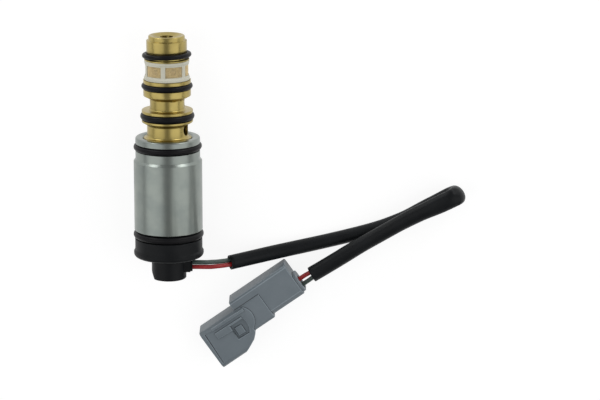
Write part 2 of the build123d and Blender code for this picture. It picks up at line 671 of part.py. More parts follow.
# Connector housing: shroud with an angled shoulder, collar, rear box and seal stub
with BuildPart() as connector_housing:
    with BuildSketch(CONNECTOR):
        Polygon(
            (21.9, COLLAR_SIDES[0]), (MOUTH, SHROUD_SIDES[0]), (MOUTH, SHROUD_SIDES[1]),
            (29.2, SHROUD_SIDES[1]), (24.0, 15.8), (22.5, 14.4), (21.9, COLLAR_SIDES[1]),
            align=None,
        )
    extrude(amount=SHROUD_HEIGHT)
    with BuildSketch(connector_plane(COLLAR_START)):
        with Locations((sum(SHROUD_SIDES) / 2, SHROUD_HEIGHT / 2)):
            RectangleRounded(SHROUD_SIDES[1] - SHROUD_SIDES[0], SHROUD_HEIGHT, 1.8)
    extrude(amount=MOUTH - COLLAR_START, mode=Mode.INTERSECT)
    with BuildSketch(connector_plane(COLLAR_START)):
        with BuildLine():
            outline([
                (COLLAR_SIDES[0], 0, 0.6),
                (COLLAR_SIDES[1], 0, 1.2),
                (COLLAR_SIDES[1], COLLAR_HEIGHT, 1.2),
                (COLLAR_SIDES[0], COLLAR_HEIGHT, 0.8),
            ])
        make_face()
    extrude(amount=SHROUD_START - COLLAR_START)
    with BuildSketch(connector_plane(0)):
        Polygon(
            (1.0, 0), (BOX_WIDTH - 1.0, 0), (BOX_WIDTH, 1.0), (BOX_WIDTH, BOX_HEIGHT - 1.8),
            (BOX_WIDTH - 1.8, BOX_HEIGHT), (0.7, BOX_HEIGHT), (0, BOX_HEIGHT - 0.7), (0, 1.0),
            align=None,
        )
    extrude(amount=BOX_LENGTH)
    with BuildSketch(connector_plane(-STUB_REACH)):
        with Locations((PIN_LINE - 0.5, PIN_HEIGHT - 0.2)):
            RectangleRounded(7.2, 8.2, 2.0)
    extrude(amount=STUB_REACH)
    # Shroud cavity and its polarising rib
    with BuildSketch(connector_plane(CAVITY_FLOOR)):
        with Locations((sum(SHROUD_SIDES) / 2, SHROUD_HEIGHT / 2)):
            RectangleRounded(
                SHROUD_SIDES[1] - SHROUD_SIDES[0] - 2 * SHROUD_WALL,
                SHROUD_HEIGHT - 2 * SHROUD_WALL, 1.0,
            )
        with Locations((14.4, SHROUD_HEIGHT - SHROUD_WALL - 0.6)):
            Rectangle(1.4, 1.2, mode=Mode.SUBTRACT)
    extrude(amount=MOUTH - CAVITY_FLOOR, mode=Mode.SUBTRACT)
    # Rear seal pocket and the two contact channels
    with BuildSketch(connector_plane(-STUB_REACH)):
        with Locations((PIN_LINE, PIN_HEIGHT)):
            RectangleRounded(*SEAL_SIZE, 1.9)
    extrude(amount=CRIMP_START + STUB_REACH, mode=Mode.SUBTRACT)
    with BuildSketch(connector_plane(CRIMP_START)):
        with Locations((PIN_LINE, PIN_HEIGHT)):
            with GridLocations(2 * PIN_OFFSET, 0, 2, 1):
                Rectangle(CONTACT_CHANNEL, CONTACT_CHANNEL)
    extrude(amount=CAVITY_FLOOR - CRIMP_START, mode=Mode.SUBTRACT)
    # Rounded tongue that carries the shroud's top back over the collar
    with BuildSketch(CONNECTOR.offset(COLLAR_HEIGHT - 0.5)):
        with BuildLine():
            ThreePointArc((22.4, 12.5), (19.1, 7.6), (20.6, 3.7))
            Polyline((20.6, 3.7), (24.0, 3.7), (24.0, 12.5), (22.4, 12.5))
        make_face()
    extrude(amount=SHROUD_HEIGHT - COLLAR_HEIGHT + 0.5)
    # Raised rails, sunk latch pocket with its locking tooth, and the band round the mouth
    with BuildSketch(CONNECTOR.offset(SHROUD_HEIGHT - 0.2)):
        Polygon((34.4, 3.7), (20.8, 3.9), (20.8, 5.0), (34.4, 4.8), align=None)
        Polygon((34.3, 5.9), (23.0, 6.2), (23.0, 6.8), (34.3, 6.6), align=None)
        Polygon((34.3, 6.6), (28.4, 6.7), (28.4, 8.7), (34.3, 8.3), align=None)
    extrude(amount=0.8)
    with BuildSketch(CONNECTOR.offset(SHROUD_HEIGHT)):
        with BuildLine():
            ThreePointArc((24.0, 12.8), (22.7, 10.0), (23.0, 6.9))
            Polyline((23.0, 6.9), (28.3, 6.9), (28.5, 12.6), (24.0, 12.8))
        make_face()
    extrude(amount=-0.9, mode=Mode.SUBTRACT)
    with BuildSketch(CONNECTOR.offset(SHROUD_HEIGHT - 1.2)):
        Polygon((24.6, 8.6), (27.6, 8.4), (27.7, 11.8), (24.7, 12.0), align=None)
    extrude(amount=0.8, taper=12)
    with BuildSketch(CONNECTOR.offset(SHROUD_HEIGHT)):
        Polygon((37.2, 4.6), (37.6, 4.6), (38.2, 16.6), (37.8, 16.6), align=None)
    extrude(amount=-0.3, mode=Mode.SUBTRACT)
save(connector_housing.part, "connector_housing")


def contact_pin(side):
    """Crimp barrel, contact body and tapered blade of one male contact."""
    line = PIN_LINE + side * PIN_OFFSET
    with BuildPart() as contact:
        with BuildSketch(connector_plane(CRIMP_START)):
            with Locations((line, PIN_HEIGHT)):
                Circle(WIRE_RADIUS + 0.15)
        extrude(amount=CONTACT_BODY_START - CRIMP_START)
        with BuildSketch(connector_plane(CONTACT_BODY_START)):
            with Locations((line, PIN_HEIGHT)):
                Rectangle(CONTACT_CHANNEL - 0.3, CONTACT_CHANNEL - 0.3)
        extrude(amount=CONTACT_BODY_END - CONTACT_BODY_START)
        with BuildSketch(connector_plane(CONTACT_BODY_END)):
            with Locations((line, PIN_HEIGHT)):
                Rectangle(*BLADE_SIZE)
        extrude(amount=PIN_TIP - CONTACT_BODY_END)
        tip = contact.faces().filter_by(Plane(origin=(0, 0, 0), z_dir=CONNECTOR.x_dir))
        chamfer(tip.sort_by(Axis((0, 0, 0), tuple(CONNECTOR.x_dir)))[-1].edges(), length=0.25)
    return contact.part


save(contact_pin(-1), "red_contact_pin")
save(contact_pin(1), "green_contact_pin")

# Wire seal in the rear of the housing
with BuildPart() as wire_seal:
    with BuildSketch(connector_plane(SEAL_FACE)):
        with Locations((PIN_LINE, PIN_HEIGHT)):
            RectangleRounded(SEAL_SIZE[0] - 0.04, SEAL_SIZE[1] - 0.04, 1.88)
            with GridLocations(2 * PIN_OFFSET, 0, 2, 1):
                Circle(WIRE_RADIUS + 0.02, mode=Mode.SUBTRACT)
    extrude(amount=CRIMP_START - SEAL_FACE)
save(wire_seal.part, "wire_seal")

# Contact retainer: a plate on the cavity floor that the blades pass through
with BuildPart() as contact_retainer:
    with BuildSketch(connector_plane(CAVITY_FLOOR)):
        with Locations((PIN_LINE, PIN_HEIGHT)):
            RectangleRounded(8.0, 5.0, 0.6)
            with GridLocations(2 * PIN_OFFSET, 0, 2, 1):
                Rectangle(BLADE_SIZE[0] + 0.1, BLADE_SIZE[1] + 0.1, mode=Mode.SUBTRACT)
    extrude(amount=1.6)
save(contact_retainer.part, "contact_retainer")
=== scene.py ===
"""Dressed model of a compressor control valve lying on its side, with its lead and connector.

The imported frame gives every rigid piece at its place. This script gives those pieces
their finishes, breaks the sharp edges of three of them, builds the two wires, their sleeve
and the filter's woven wire, and sets the studio. Positions are metres, sizes in the classes
are millimetres, and the valve's axis runs along +Y toward the brass nose.
"""

import json
import logging
import math
from dataclasses import dataclass, field
from enum import Enum
from typing import Callable, Sequence

import bmesh
import bpy
from mathutils import Matrix, Vector
from mathutils.bvhtree import BVHTree
from mathutils.kdtree import KDTree

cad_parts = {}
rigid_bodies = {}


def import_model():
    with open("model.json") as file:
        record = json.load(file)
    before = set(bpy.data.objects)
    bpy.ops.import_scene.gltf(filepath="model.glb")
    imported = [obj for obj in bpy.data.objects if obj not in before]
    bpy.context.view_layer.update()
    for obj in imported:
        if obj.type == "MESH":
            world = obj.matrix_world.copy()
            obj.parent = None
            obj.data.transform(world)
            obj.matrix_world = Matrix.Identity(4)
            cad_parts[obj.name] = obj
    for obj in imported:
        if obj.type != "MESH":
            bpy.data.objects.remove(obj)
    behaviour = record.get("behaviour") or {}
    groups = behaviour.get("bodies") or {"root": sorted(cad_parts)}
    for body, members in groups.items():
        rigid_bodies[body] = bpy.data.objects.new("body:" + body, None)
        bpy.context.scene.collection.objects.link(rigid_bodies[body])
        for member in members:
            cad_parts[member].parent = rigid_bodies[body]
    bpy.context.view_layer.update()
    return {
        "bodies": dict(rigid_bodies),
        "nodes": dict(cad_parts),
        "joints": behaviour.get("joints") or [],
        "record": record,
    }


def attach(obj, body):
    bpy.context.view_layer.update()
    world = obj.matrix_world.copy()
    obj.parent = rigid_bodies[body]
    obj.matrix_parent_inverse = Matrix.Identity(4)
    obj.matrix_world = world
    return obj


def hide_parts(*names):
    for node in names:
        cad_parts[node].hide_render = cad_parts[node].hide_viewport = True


MM = 0.001
VALVE_BODY = "valve"
AXIS_HEIGHT = 12.35 * MM
FOOT_Y = -43.55 * MM
CORNER_MARK = "corner"
MERGE_GAP = 0.002 * MM

log = logging.getLogger("valve")

Colour = tuple[float, float, float]


class Slot(Enum):
    """Material slots of the record that new pieces take."""

    BRASS = "brass"
    ZINC = "zinc_steel"
    GREY = "grey_plastic"
    RED = "red_insulation"
    GREEN = "green_insulation"
    SLEEVE = "sleeve_plastic"
    MESH = "filter_mesh"


class Field:
    """A node socket that can be used in Python arithmetic."""

    def __init__(self, tree: bpy.types.NodeTree, socket: bpy.types.NodeSocket) -> None:
        """Wrap an output socket of a node tree."""
        self.tree = tree
        self.socket = socket

    def _maths(self, operation: str, *values: "Field | float") -> "Field":
        """Add a Math node.

        Args:
            operation: The node's operation.
            values: What it works on, in the order of its sockets.

        Returns:
            The result.
        """
        node = self.tree.nodes.new("ShaderNodeMath")
        node.operation = operation
        for place, value in zip(node.inputs, values):
            if isinstance(value, Field):
                self.tree.links.new(value.socket, place)
            else:
                place.default_value = value
        return Field(self.tree, node.outputs[0])

    def __add__(self, other: "Field | float") -> "Field":
        """Sum."""
        return self._maths("ADD", self, other)

    __radd__ = __add__

    def __sub__(self, other: "Field | float") -> "Field":
        """Difference."""
        return self._maths("SUBTRACT", self, other)

    def __rsub__(self, other: "Field | float") -> "Field":
        """Difference with this value taken away."""
        return self._maths("SUBTRACT", other, self)

    def __mul__(self, other: "Field | float") -> "Field":
        """Product."""
        return self._maths("MULTIPLY", self, other)

    __rmul__ = __mul__

    def between(self, low: float, high: float) -> "Field":
        """Rise smoothly from 0 at low to 1 at high.

        Args:
            low: Value at which the result leaves 0.
            high: Value at which the result reaches 1.

        Returns:
            The eased value.
        """
        node = self.tree.nodes.new("ShaderNodeMapRange")
        node.interpolation_type = "SMOOTHSTEP"
        self.tree.links.new(self.socket, node.inputs["Value"])
        node.inputs["From Min"].default_value = low
        node.inputs["From Max"].default_value = high
        return Field(self.tree, node.outputs["Result"])


class Palette:
    """One material being built: a principled surface and the nodes behind it."""

    def __init__(self, name: str) -> None:
        """Start an empty material with a principled surface.

        Args:
            name: The material's name.
        """
        self.material = bpy.data.materials.new(name)
        self.material.use_nodes = True
        self.tree = self.material.node_tree
        self.tree.nodes.clear()
        self.surface = self.tree.nodes.new("ShaderNodeBsdfPrincipled")
        output = self.tree.nodes.new("ShaderNodeOutputMaterial")
        self.tree.links.new(self.surface.outputs["BSDF"], output.inputs["Surface"])

    def node(self, kind: str, settings: dict, inputs: dict, output: str | int = 0) -> Field:
        """Add any node.

        Args:
            kind: The node's type without its "ShaderNode" prefix.
            settings: Properties that are set before the sockets.
            inputs: Values or links for the node's sockets, by name or index.
            output: The output socket that the result wraps.

        Returns:
            The chosen output socket.
        """
        node = self.tree.nodes.new("ShaderNode" + kind)
        for key, value in settings.items():
            setattr(node, key, value)
        for key, value in inputs.items():
            if isinstance(value, Field):
                self.tree.links.new(value.socket, node.inputs[key])
            else:
                node.inputs[key].default_value = value
        return Field(self.tree, node.outputs[output])

    def place(self) -> Field:
        """Object coordinates, which are the row frame's in metres."""
        return self.node("TexCoord", {}, {}, "Object")

    def stretched(self, vector: Field, scale: tuple[float, float, float]) -> Field:
        """Scale a vector along each axis."""
        return self.node("Mapping", {}, {"Vector": vector, "Scale": scale})

    def noise(self, vector: Field, scale: float, detail: float = 2.0) -> Field:
        """Noise between 0 and 1 with about `scale` grains in a metre."""
        inputs = {"Vector": vector, "Scale": scale, "Detail": detail}
        return self.node("TexNoise", {}, inputs, "Fac")

    def blend(self, factor: Field, first: Field | Colour, second: Colour) -> Field:
        """Mix two colours by a factor."""
        start = first if isinstance(first, Field) else (*first, 1)
        return self.node("Mix", {"data_type": "RGBA"}, {0: factor, 6: start, 7: (*second, 1)}, 2)

    def bump(self, height: Field, distance: float) -> Field:
        """Normal of a height field that is `distance` metres deep."""
        return self.node("Bump", {}, {"Height": height, "Distance": distance}, "Normal")

    def rough(self, middle: float, swings: Sequence[tuple[Field, float]]) -> Field:
        """Roughness that swings round a middle value.

        Args:
            middle: Roughness where every field is at 0.5.
            swings: Fields between 0 and 1, each with the whole width of its swing.

        Returns:
            The roughness.
        """
        lowest = middle - sum(width for _, width in swings) / 2
        return sum((part * width for part, width in swings), lowest)

    def set(self, **sockets: Field | float | Colour) -> bpy.types.Material:
        """Fill the surface's sockets.

        Args:
            sockets: Values or links, by socket name with underscores for spaces.

        Returns:
            The finished material.
        """
        for key, value in sockets.items():
            place = self.surface.inputs[key.replace("_", " ")]
            if isinstance(value, Field):
                self.tree.links.new(value.socket, place)
            elif isinstance(value, tuple):
                place.default_value = (*value, 1)
            else:
                place.default_value = value
        return self.material


@dataclass(frozen=True)
class TurnedMetal:
    """Metal turned on a lathe round the valve's axis.

    Attributes:
        name: The material's name.
        light: Colour of the bare metal.
        dull: Colour where it is a little tarnished.
        roughness: Middle roughness.
        lines: Lathe lines in a metre.
        depth: Depth of those lines in metres.
        breaks: Breaks in a line, in a metre.
        clouds: Tarnish clouds in a metre.
    """

    name: str
    light: Colour
    dull: Colour
    roughness: float
    lines: float
    depth: float
    breaks: float = 40.0
    clouds: float = 160.0

    def build(self) -> bpy.types.Material:
        """Make the material.

        Returns:
            The material.
        """
        palette = Palette(self.name)
        place = palette.place()
        along_axis = palette.stretched(place, (1, self.lines / self.breaks, 1))
        rings = palette.noise(along_axis, self.breaks, 3)
        cloud = palette.noise(place, self.clouds, 3)
        return palette.set(
            Base_Color=palette.blend(cloud.between(0.35, 0.7), self.light, self.dull),
            Metallic=1.0,
            Roughness=palette.rough(self.roughness, [(cloud, 0.12), (rings, 0.1)]),
            Normal=palette.bump(rings, self.depth),
        )


@dataclass(frozen=True)
class Moulding:
    """Moulded plastic or rubber with a fine grain and, where asked, painted highlights on outer
    corners and painted shade in inner ones.

    Attributes:
        name: The material's name.
        colour: Main colour.
        tint: Colour that it drifts toward in soft clouds.
        roughness: Middle roughness.
        grain: Depth of the grain in metres.
        shine: Specular level, where 0.5 is plain plastic.
        painted_edge_light: How strongly outer corners get a painted highlight and inner ones
            painted shade, from 0 to 1.
        painted_highlight: Brightness of the painted highlight on an outer corner, where 1 is the
            main colour's.
        painted_shade: Brightness of the painted shade in an inner corner.
        clouds: Clouds of tint in a metre.
        grains: Grains in a metre.
    """

    name: str
    colour: Colour
    tint: Colour
    roughness: float
    grain: float = 1e-5
    shine: float = 0.5
    painted_edge_light: float = 0.0
    painted_highlight: float = 1.6
    painted_shade: float = 0.25
    clouds: float = 120.0
    grains: float = 4200.0

    def build(self) -> bpy.types.Material:
        """Make the material.

        Returns:
            The material.
        """
        palette = Palette(self.name)
        place = palette.place()
        cloud = palette.noise(place, self.clouds, 3)
        grain = palette.noise(place, self.grains)
        colour = palette.blend(cloud.between(0.3, 0.75), self.colour, self.tint)
        # Painted light: outer corners are lightened as a painted highlight and inner corners
        # darkened as painted shade, read from the corner mark of the broken edges.
        if self.painted_edge_light:
            mark = palette.node("Attribute", {"attribute_name": CORNER_MARK}, {}, "Fac")
            painted_highlight = tuple(self.painted_highlight * part for part in self.colour)
            painted_shade = tuple(self.painted_shade * part for part in self.colour)
            colour = palette.blend(mark.between(0, 1) * self.painted_edge_light, colour, painted_highlight)
            colour = palette.blend((0 - mark).between(0, 1) * self.painted_edge_light, colour, painted_shade)
        return palette.set(
            Base_Color=colour,
            Roughness=palette.rough(self.roughness, [(cloud, 0.1), (grain, 0.06)]),
            Normal=palette.bump(grain, self.grain),
            Specular_IOR_Level=self.shine,
        )


@dataclass(frozen=True)
class PlainMetal:
    """Drawn, ground or stamped metal with no lathe lines.

    Attributes:
        name: The material's name.
        colour: Colour of the metal.
        roughness: Middle roughness.
        clouds: Clouds of duller metal in a metre.
    """

    name: str
    colour: Colour
    roughness: float
    clouds: float = 900.0

    def build(self) -> bpy.types.Material:
        """Make the material.

        Returns:
            The material.
        """
        palette = Palette(self.name)
        cloud = palette.noise(palette.place(), self.clouds)
        return palette.set(
            Base_Color=self.colour,
            Metallic=1.0,
            Roughness=palette.rough(self.roughness, [(cloud, 0.1)]),
        )


@dataclass(frozen=True)
class WovenWire:
    """Fine woven wire gone a little dull, so that it is less than fully metallic.

    Attributes:
        name: The material's name.
        light: Colour of the brighter wires.
        dull: Colour of the duller ones.
        metallic: How metallic the wires are, from 0 to 1.
        roughness: Middle roughness.
        clouds: Clouds of duller wire in a metre.
    """

    name: str
    light: Colour
    dull: Colour
    metallic: float = 0.35
    roughness: float = 0.5
    clouds: float = 1400.0

    def build(self) -> bpy.types.Material:
        """Make the material.

        Returns:
            The material.
        """
        palette = Palette(self.name)
        cloud = palette.noise(palette.place(), self.clouds)
        return palette.set(
            Base_Color=palette.blend(cloud.between(0.3, 0.7), self.light, self.dull),
            Metallic=self.metallic,
            Roughness=palette.rough(self.roughness, [(cloud, 0.1)]),
        )


class Finishes:
    """Every finish of the valve, built once and kept by slot name."""

    def __init__(self) -> None:
        """Build all materials."""
        makers = {
            "brass": TurnedMetal(
                "turned brass", (0.42, 0.332, 0.113), (0.35, 0.276, 0.094), 0.3, 9000, 5e-6
            ),
            "zinc_steel": TurnedMetal(
                "zinc plated steel", (0.26, 0.287, 0.264), (0.228, 0.255, 0.24), 0.32, 5000, 3e-6
            ),
            "magnetic_steel": TurnedMetal(
                "magnetic steel", (0.5, 0.5, 0.5), (0.42, 0.42, 0.42), 0.35, 6000, 5e-6
            ),
            "stainless_steel": PlainMetal("stainless steel", (0.36, 0.36, 0.35), 0.42),
            "spring_steel": PlainMetal("spring wire", (0.5, 0.5, 0.52), 0.3),
            "contact_metal": PlainMetal("tinned contact", (0.66, 0.64, 0.58), 0.35),
            "coil_copper": PlainMetal("coil wire", (0.6, 0.27, 0.13), 0.4),
            "filter_mesh": WovenWire("woven wire", (0.94, 0.76, 0.43), (0.82, 0.65, 0.36)),
            "ring_rubber": Moulding(
                "ring rubber", (0.004, 0.004, 0.005), (0.007, 0.007, 0.008), 0.4, 4e-6, 0.14
            ),
            "black_plastic": Moulding(
                "black moulding", (0.0045, 0.0055, 0.0065), (0.008, 0.009, 0.0105), 0.46, 8e-6, 0.15
            ),
            "white_plastic": Moulding(
                "filter moulding", (0.66, 0.65, 0.54), (0.58, 0.57, 0.47), 0.5, 5e-6, 0.35
            ),
            "bobbin_plastic": Moulding(
                "bobbin moulding", (0.3, 0.25, 0.15), (0.25, 0.2, 0.12), 0.5
            ),
            "red_insulation": Moulding(
                "red insulation", (0.36, 0.01, 0.012), (0.29, 0.008, 0.01), 0.38, 3e-6
            ),
            "green_insulation": Moulding(
                "green insulation", (0.05, 0.078, 0.066), (0.04, 0.062, 0.054), 0.38, 3e-6
            ),
            "sleeve_plastic": Moulding(
                "soft sleeve", (0.0055, 0.0065, 0.0075), (0.009, 0.0105, 0.012), 0.45, 1e-5, 0.16
            ),
            # The 0.8 is the strength of the painted highlights on outer corners and the painted
            # shade in inner ones.
            "grey_plastic": Moulding(
                "grey moulding", (0.168, 0.2, 0.224), (0.146, 0.177, 0.2), 0.48, 7e-6, 0.45, 0.8
            ),
            "seal_rubber": Moulding("wire seal", (0.12, 0.145, 0.155), (0.1, 0.125, 0.135), 0.55),
        }
        self.materials = {slot: maker.build() for slot, maker in makers.items()}

    def dress(self, frame: dict) -> None:
        """Give every node of the frame the finish of its slot.

        Args:
            frame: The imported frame.
        """
        for part in frame["record"]["subparts"]:
            node = frame["nodes"][part["node"]]
            node.data.materials.clear()
            node.data.materials.append(self.materials[part["material_slot"]])


def link(name: str, mesh: bmesh.types.BMesh, material: bpy.types.Material) -> bpy.types.Object:
    """Turn a bmesh into a smooth-shaded object at the origin.

    Args:
        name: The piece's name.
        mesh: The finished bmesh, which is freed.
        material: Its finish.

    Returns:
        The new object.
    """
    bmesh.ops.recalc_face_normals(mesh, faces=mesh.faces)
    data = bpy.data.meshes.new(name)
    mesh.to_mesh(data)
    mesh.free()
    data.materials.append(material)
    data.shade_smooth()
    piece = bpy.data.objects.new(name, data)
    bpy.context.scene.collection.objects.link(piece)
    return piece


@dataclass
class Lead:
    """Two insulated wires in a soft sleeve, folded back over itself to the connector.

    Attributes:
        route: The lead's centre line, as in the part's source.
        twist: Turn of the pair at each point of the route, in degrees.
        spread: Half the distance between the wires at each point.
        wire_radius: Radius over the insulation.
        sleeve_span: First and last point of the route that the sleeve covers.
        sleeve_wall: Thickness of the sleeve.
        sleeve_shape: Half width and half height of the sleeve at each of its points.
        sleeve_size: The sleeve's diameter where it isn't pressed flat.
        steps: Points of the smooth line for each control point.
        wire_corners: Corners round a wire.
        sleeve_corners: Corners round the sleeve.
        level_enough: Smallest level part of a heading that sets the line's sideways direction.
        centre: The lead's smooth centre line, in metres, once it is built.
        across: The sideways direction at each point of that line.
    """

    route: Sequence[tuple[float, float, float]] = (
        (4.2, -38.85, 12.35), (10.8, -38.85, 12.35), (15.0, -39.2, 11.2), (21.4, -39.2, 8.4),
        (30.4, -37.95, 5.0), (39.8, -36.2, 3.1), (53.0, -33.4, 2.65), (68.7, -29.6, 2.65),
        (80.8, -25.9, 2.65), (92.3, -20.1, 2.65), (101.9, -15.2, 2.65), (102.0, -13.4, 13.2),
        (95.6, -16.75, 12.9), (86.0, -21.55, 11.0), (75.6, -28.1, 9.1), (66.5, -33.7, 7.9),
        (58.0, -39.4, 7.1), (50.45, -44.0, 7.0), (46.48, -46.7, 7.0), (44.18, -48.3, 7.0),
    )
    twist: Sequence[float] = (0, 0, -35, -35) + (0,) * 9 + (-45, -90, -135) + (-180,) * 4
    spread: Sequence[float] = (0.85,) * 18 + (1.15, 1.15)
    wire_radius: float = 0.8
    sleeve_span: tuple[int, int] = (3, 17)
    sleeve_wall: float = 0.4
    sleeve_shape: Sequence[tuple[float, float]] = (
        (2.6, 2.5), (2.6, 2.6), (2.55, 2.6), (2.5, 2.6), (2.5, 2.6), (2.7, 2.5), (3.1, 2.5),
        (3.35, 2.3), (3.35, 2.2), (3.25, 2.2), (2.95, 2.4), (2.75, 2.5), (2.75, 2.5), (2.85, 2.55),
        (2.85, 2.6),
    )
    sleeve_size: float = 5.2
    steps: int = 14
    wire_corners: int = 20
    sleeve_corners: int = 36
    level_enough: float = 0.85
    centre: list[Vector] = field(default_factory=list)
    across: list[Vector] = field(default_factory=list)

    def smooth_line(self, points: Sequence[tuple[float, float, float]]) -> list[Vector]:
        """Read the points of the smooth spline that some control points give.

        Args:
            points: Control points in millimetres.

        Returns:
            Points along the spline in metres.
        """
        curve = bpy.data.curves.new("route", "CURVE")
        curve.dimensions = "3D"
        curve.resolution_u = self.steps
        spline = curve.splines.new("NURBS")
        spline.points.add(len(points) - 1)
        for place, point in zip(spline.points, points):
            place.co = (*(Vector(point) * MM), 1)
        spline.order_u = 3
        spline.use_endpoint_u = True
        holder = bpy.data.objects.new("route", curve)
        bpy.context.scene.collection.objects.link(holder)
        mesh = bpy.data.meshes.new_from_object(holder)
        line = [vertex.co.copy() for vertex in mesh.vertices]
        bpy.data.objects.remove(holder)
        bpy.data.meshes.remove(mesh)
        bpy.data.curves.remove(curve)
        return line

    @staticmethod
    def headings(line: Sequence[Vector]) -> list[Vector]:
        """Unit directions of travel at each point of a line."""
        last = len(line) - 1
        return [
            (line[min(i + 1, last)] - line[max(i - 1, 0)]).normalized() for i in range(last + 1)
        ]

    def sideways(self, line: Sequence[Vector]) -> list[Vector]:
        """Level directions across a line that keep to one side through the fold.

        Args:
            line: Points of the line.

        Returns:
            A unit vector across the line at each point.
        """
        result: list[Vector] = []
        for heading in self.headings(line):
            level = Vector((0, 0, 1)).cross(heading)
            if level.length < self.level_enough:
                level = result[-1] - heading * result[-1].dot(heading)
            if result and level.dot(result[-1]) < 0:
                level = -level
            result.append(level.normalized())
        return result

    @staticmethod
    def along(values: Sequence[float], count: int) -> list[float]:
        """Spread values that belong to control points over the points of their spline.

        Args:
            values: One value for each control point.
            count: Points of the spline.

        Returns:
            One value for each point of the spline.
        """
        result = []
        for i in range(count):
            place = i / (count - 1) * (len(values) - 1)
            low = min(int(place), len(values) - 2)
            part = place - low
            ease = part * part * (3 - 2 * part)
            result.append(values[low] * (1 - ease) + values[low + 1] * ease)
        return result

    def tube(
        self,
        line: Sequence[Vector],
        across: Sequence[Vector],
        shape: Callable[[int], tuple[float, float]],
        corners: int,
        capped: bool,
    ) -> bmesh.types.BMesh:
        """Draw a ring along a line by extruding it from point to point.

        Args:
            line: Ring centres.
            across: Direction of each ring's width.
            shape: Half width and half height of ring number i, in metres.
            corners: Corners of a ring.
            capped: Whether both ends are closed.

        Returns:
            The tube.
        """

        def ring_matrix(i: int) -> Matrix:
            """Place a unit ring.

            Args:
                i: The ring's number.

            Returns:
                The ring's place, turn and size.
            """
            heading = headings[i]
            width = (across[i] - heading * across[i].dot(heading)).normalized()
            height = heading.cross(width)
            turn = Matrix((width, height, heading)).transposed().to_4x4()
            half_width, half_height = shape(i)
            size = Matrix.Diagonal((half_width, half_height, 1, 1))
            return Matrix.Translation(line[i]) @ turn @ size

        headings = self.headings(line)
        mesh = bmesh.new()
        placed = ring_matrix(0)
        bmesh.ops.create_circle(mesh, segments=corners, radius=1, cap_ends=capped, matrix=placed)
        ring = [edge for edge in mesh.edges if len(edge.link_faces) < 2]
        for i in range(1, len(line)):
            grown = bmesh.ops.extrude_edge_only(mesh, edges=ring)["geom"]
            ring = [item for item in grown if isinstance(item, bmesh.types.BMEdge)]
            verts = [item for item in grown if isinstance(item, bmesh.types.BMVert)]
            target = ring_matrix(i)
            bmesh.ops.transform(mesh, matrix=target @ placed.inverted(), verts=verts)
            placed = target
        if capped:
            bmesh.ops.contextual_create(mesh, geom=ring)
        return mesh

    def wire(
        self, name: str, side: int, slot: Slot, carried: list[str], finishes: Finishes
    ) -> bpy.types.Object:
        """Build one insulated wire along its side of the lead.

        Args:
            name: The wire's name.
            side: 1 for the left wire at the valve, -1 for the right one.
            slot: Its material slot.
            carried: Names of the pieces on the wire's far end; not used.
            finishes: The finishes.

        Returns:
            The wire.
        """
        count = len(self.centre)
        twist = self.along(self.twist, count)
        spread = self.along(self.spread, count)
        line = []
        for i, heading in enumerate(self.headings(self.centre)):
            turn = Matrix.Rotation(math.radians(twist[i]), 3, heading)
            line.append(self.centre[i] + turn @ self.across[i] * (side * spread[i] * MM))
        radius = self.wire_radius * MM
        mesh = self.tube(
            line, self.across, lambda i: (radius, radius), self.wire_corners, capped=True
        )
        piece = link(name, mesh, finishes.materials[slot.value])
        length = sum((b - a).length for a, b in zip(line, line[1:]))
        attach(piece, VALVE_BODY)
        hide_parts(name.replace("_strand", ""))
        log.info("%s is %.1f mm long", name, length / MM)
        return piece

    def sleeve(self, finishes: Finishes) -> bpy.types.Object:
        """Build the soft sleeve, flattened where it folds.

        Args:
            finishes: The finishes.

        Returns:
            The sleeve.
        """
        first, last = self.sleeve_span
        line = self.smooth_line(self.route[first : last + 1])
        widths = self.along([shape[0] for shape in self.sleeve_shape], len(line))
        heights = self.along([shape[1] for shape in self.sleeve_shape], len(line))
        mesh = self.tube(
            line, self.sideways(line), lambda i: (widths[i] * MM, heights[i] * MM),
            self.sleeve_corners, capped=False,
        )
        piece = link("sleeve_tube", mesh, finishes.materials[Slot.SLEEVE.value])
        wall = piece.modifiers.new("wall", "SOLIDIFY")
        wall.thickness = self.sleeve_wall * MM
        wall.offset = -1
        length = sum((b - a).length for a, b in zip(line, line[1:]))
        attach(piece, VALVE_BODY)
        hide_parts("wire_sleeve")
        log.info("sleeve is %.1f mm long", length / MM)
        return piece

    def build(self, finishes: Finishes) -> None:
        """Build the wires and the sleeve.

        Args:
            finishes: The finishes.
        """
        self.centre = self.smooth_line(self.route)
        self.across = self.sideways(self.centre)
        self.wire(
            "green_wire_strand", 1, Slot.GREEN, ["connector_housing_finished", "green_contact_pin"],
            finishes,
        )
        self.wire(
            "red_wire_strand", -1, Slot.RED,
            ["connector_housing_finished", "red_contact_pin", "wire_seal", "contact_retainer"],
            finishes,
        )
        self.sleeve(finishes)


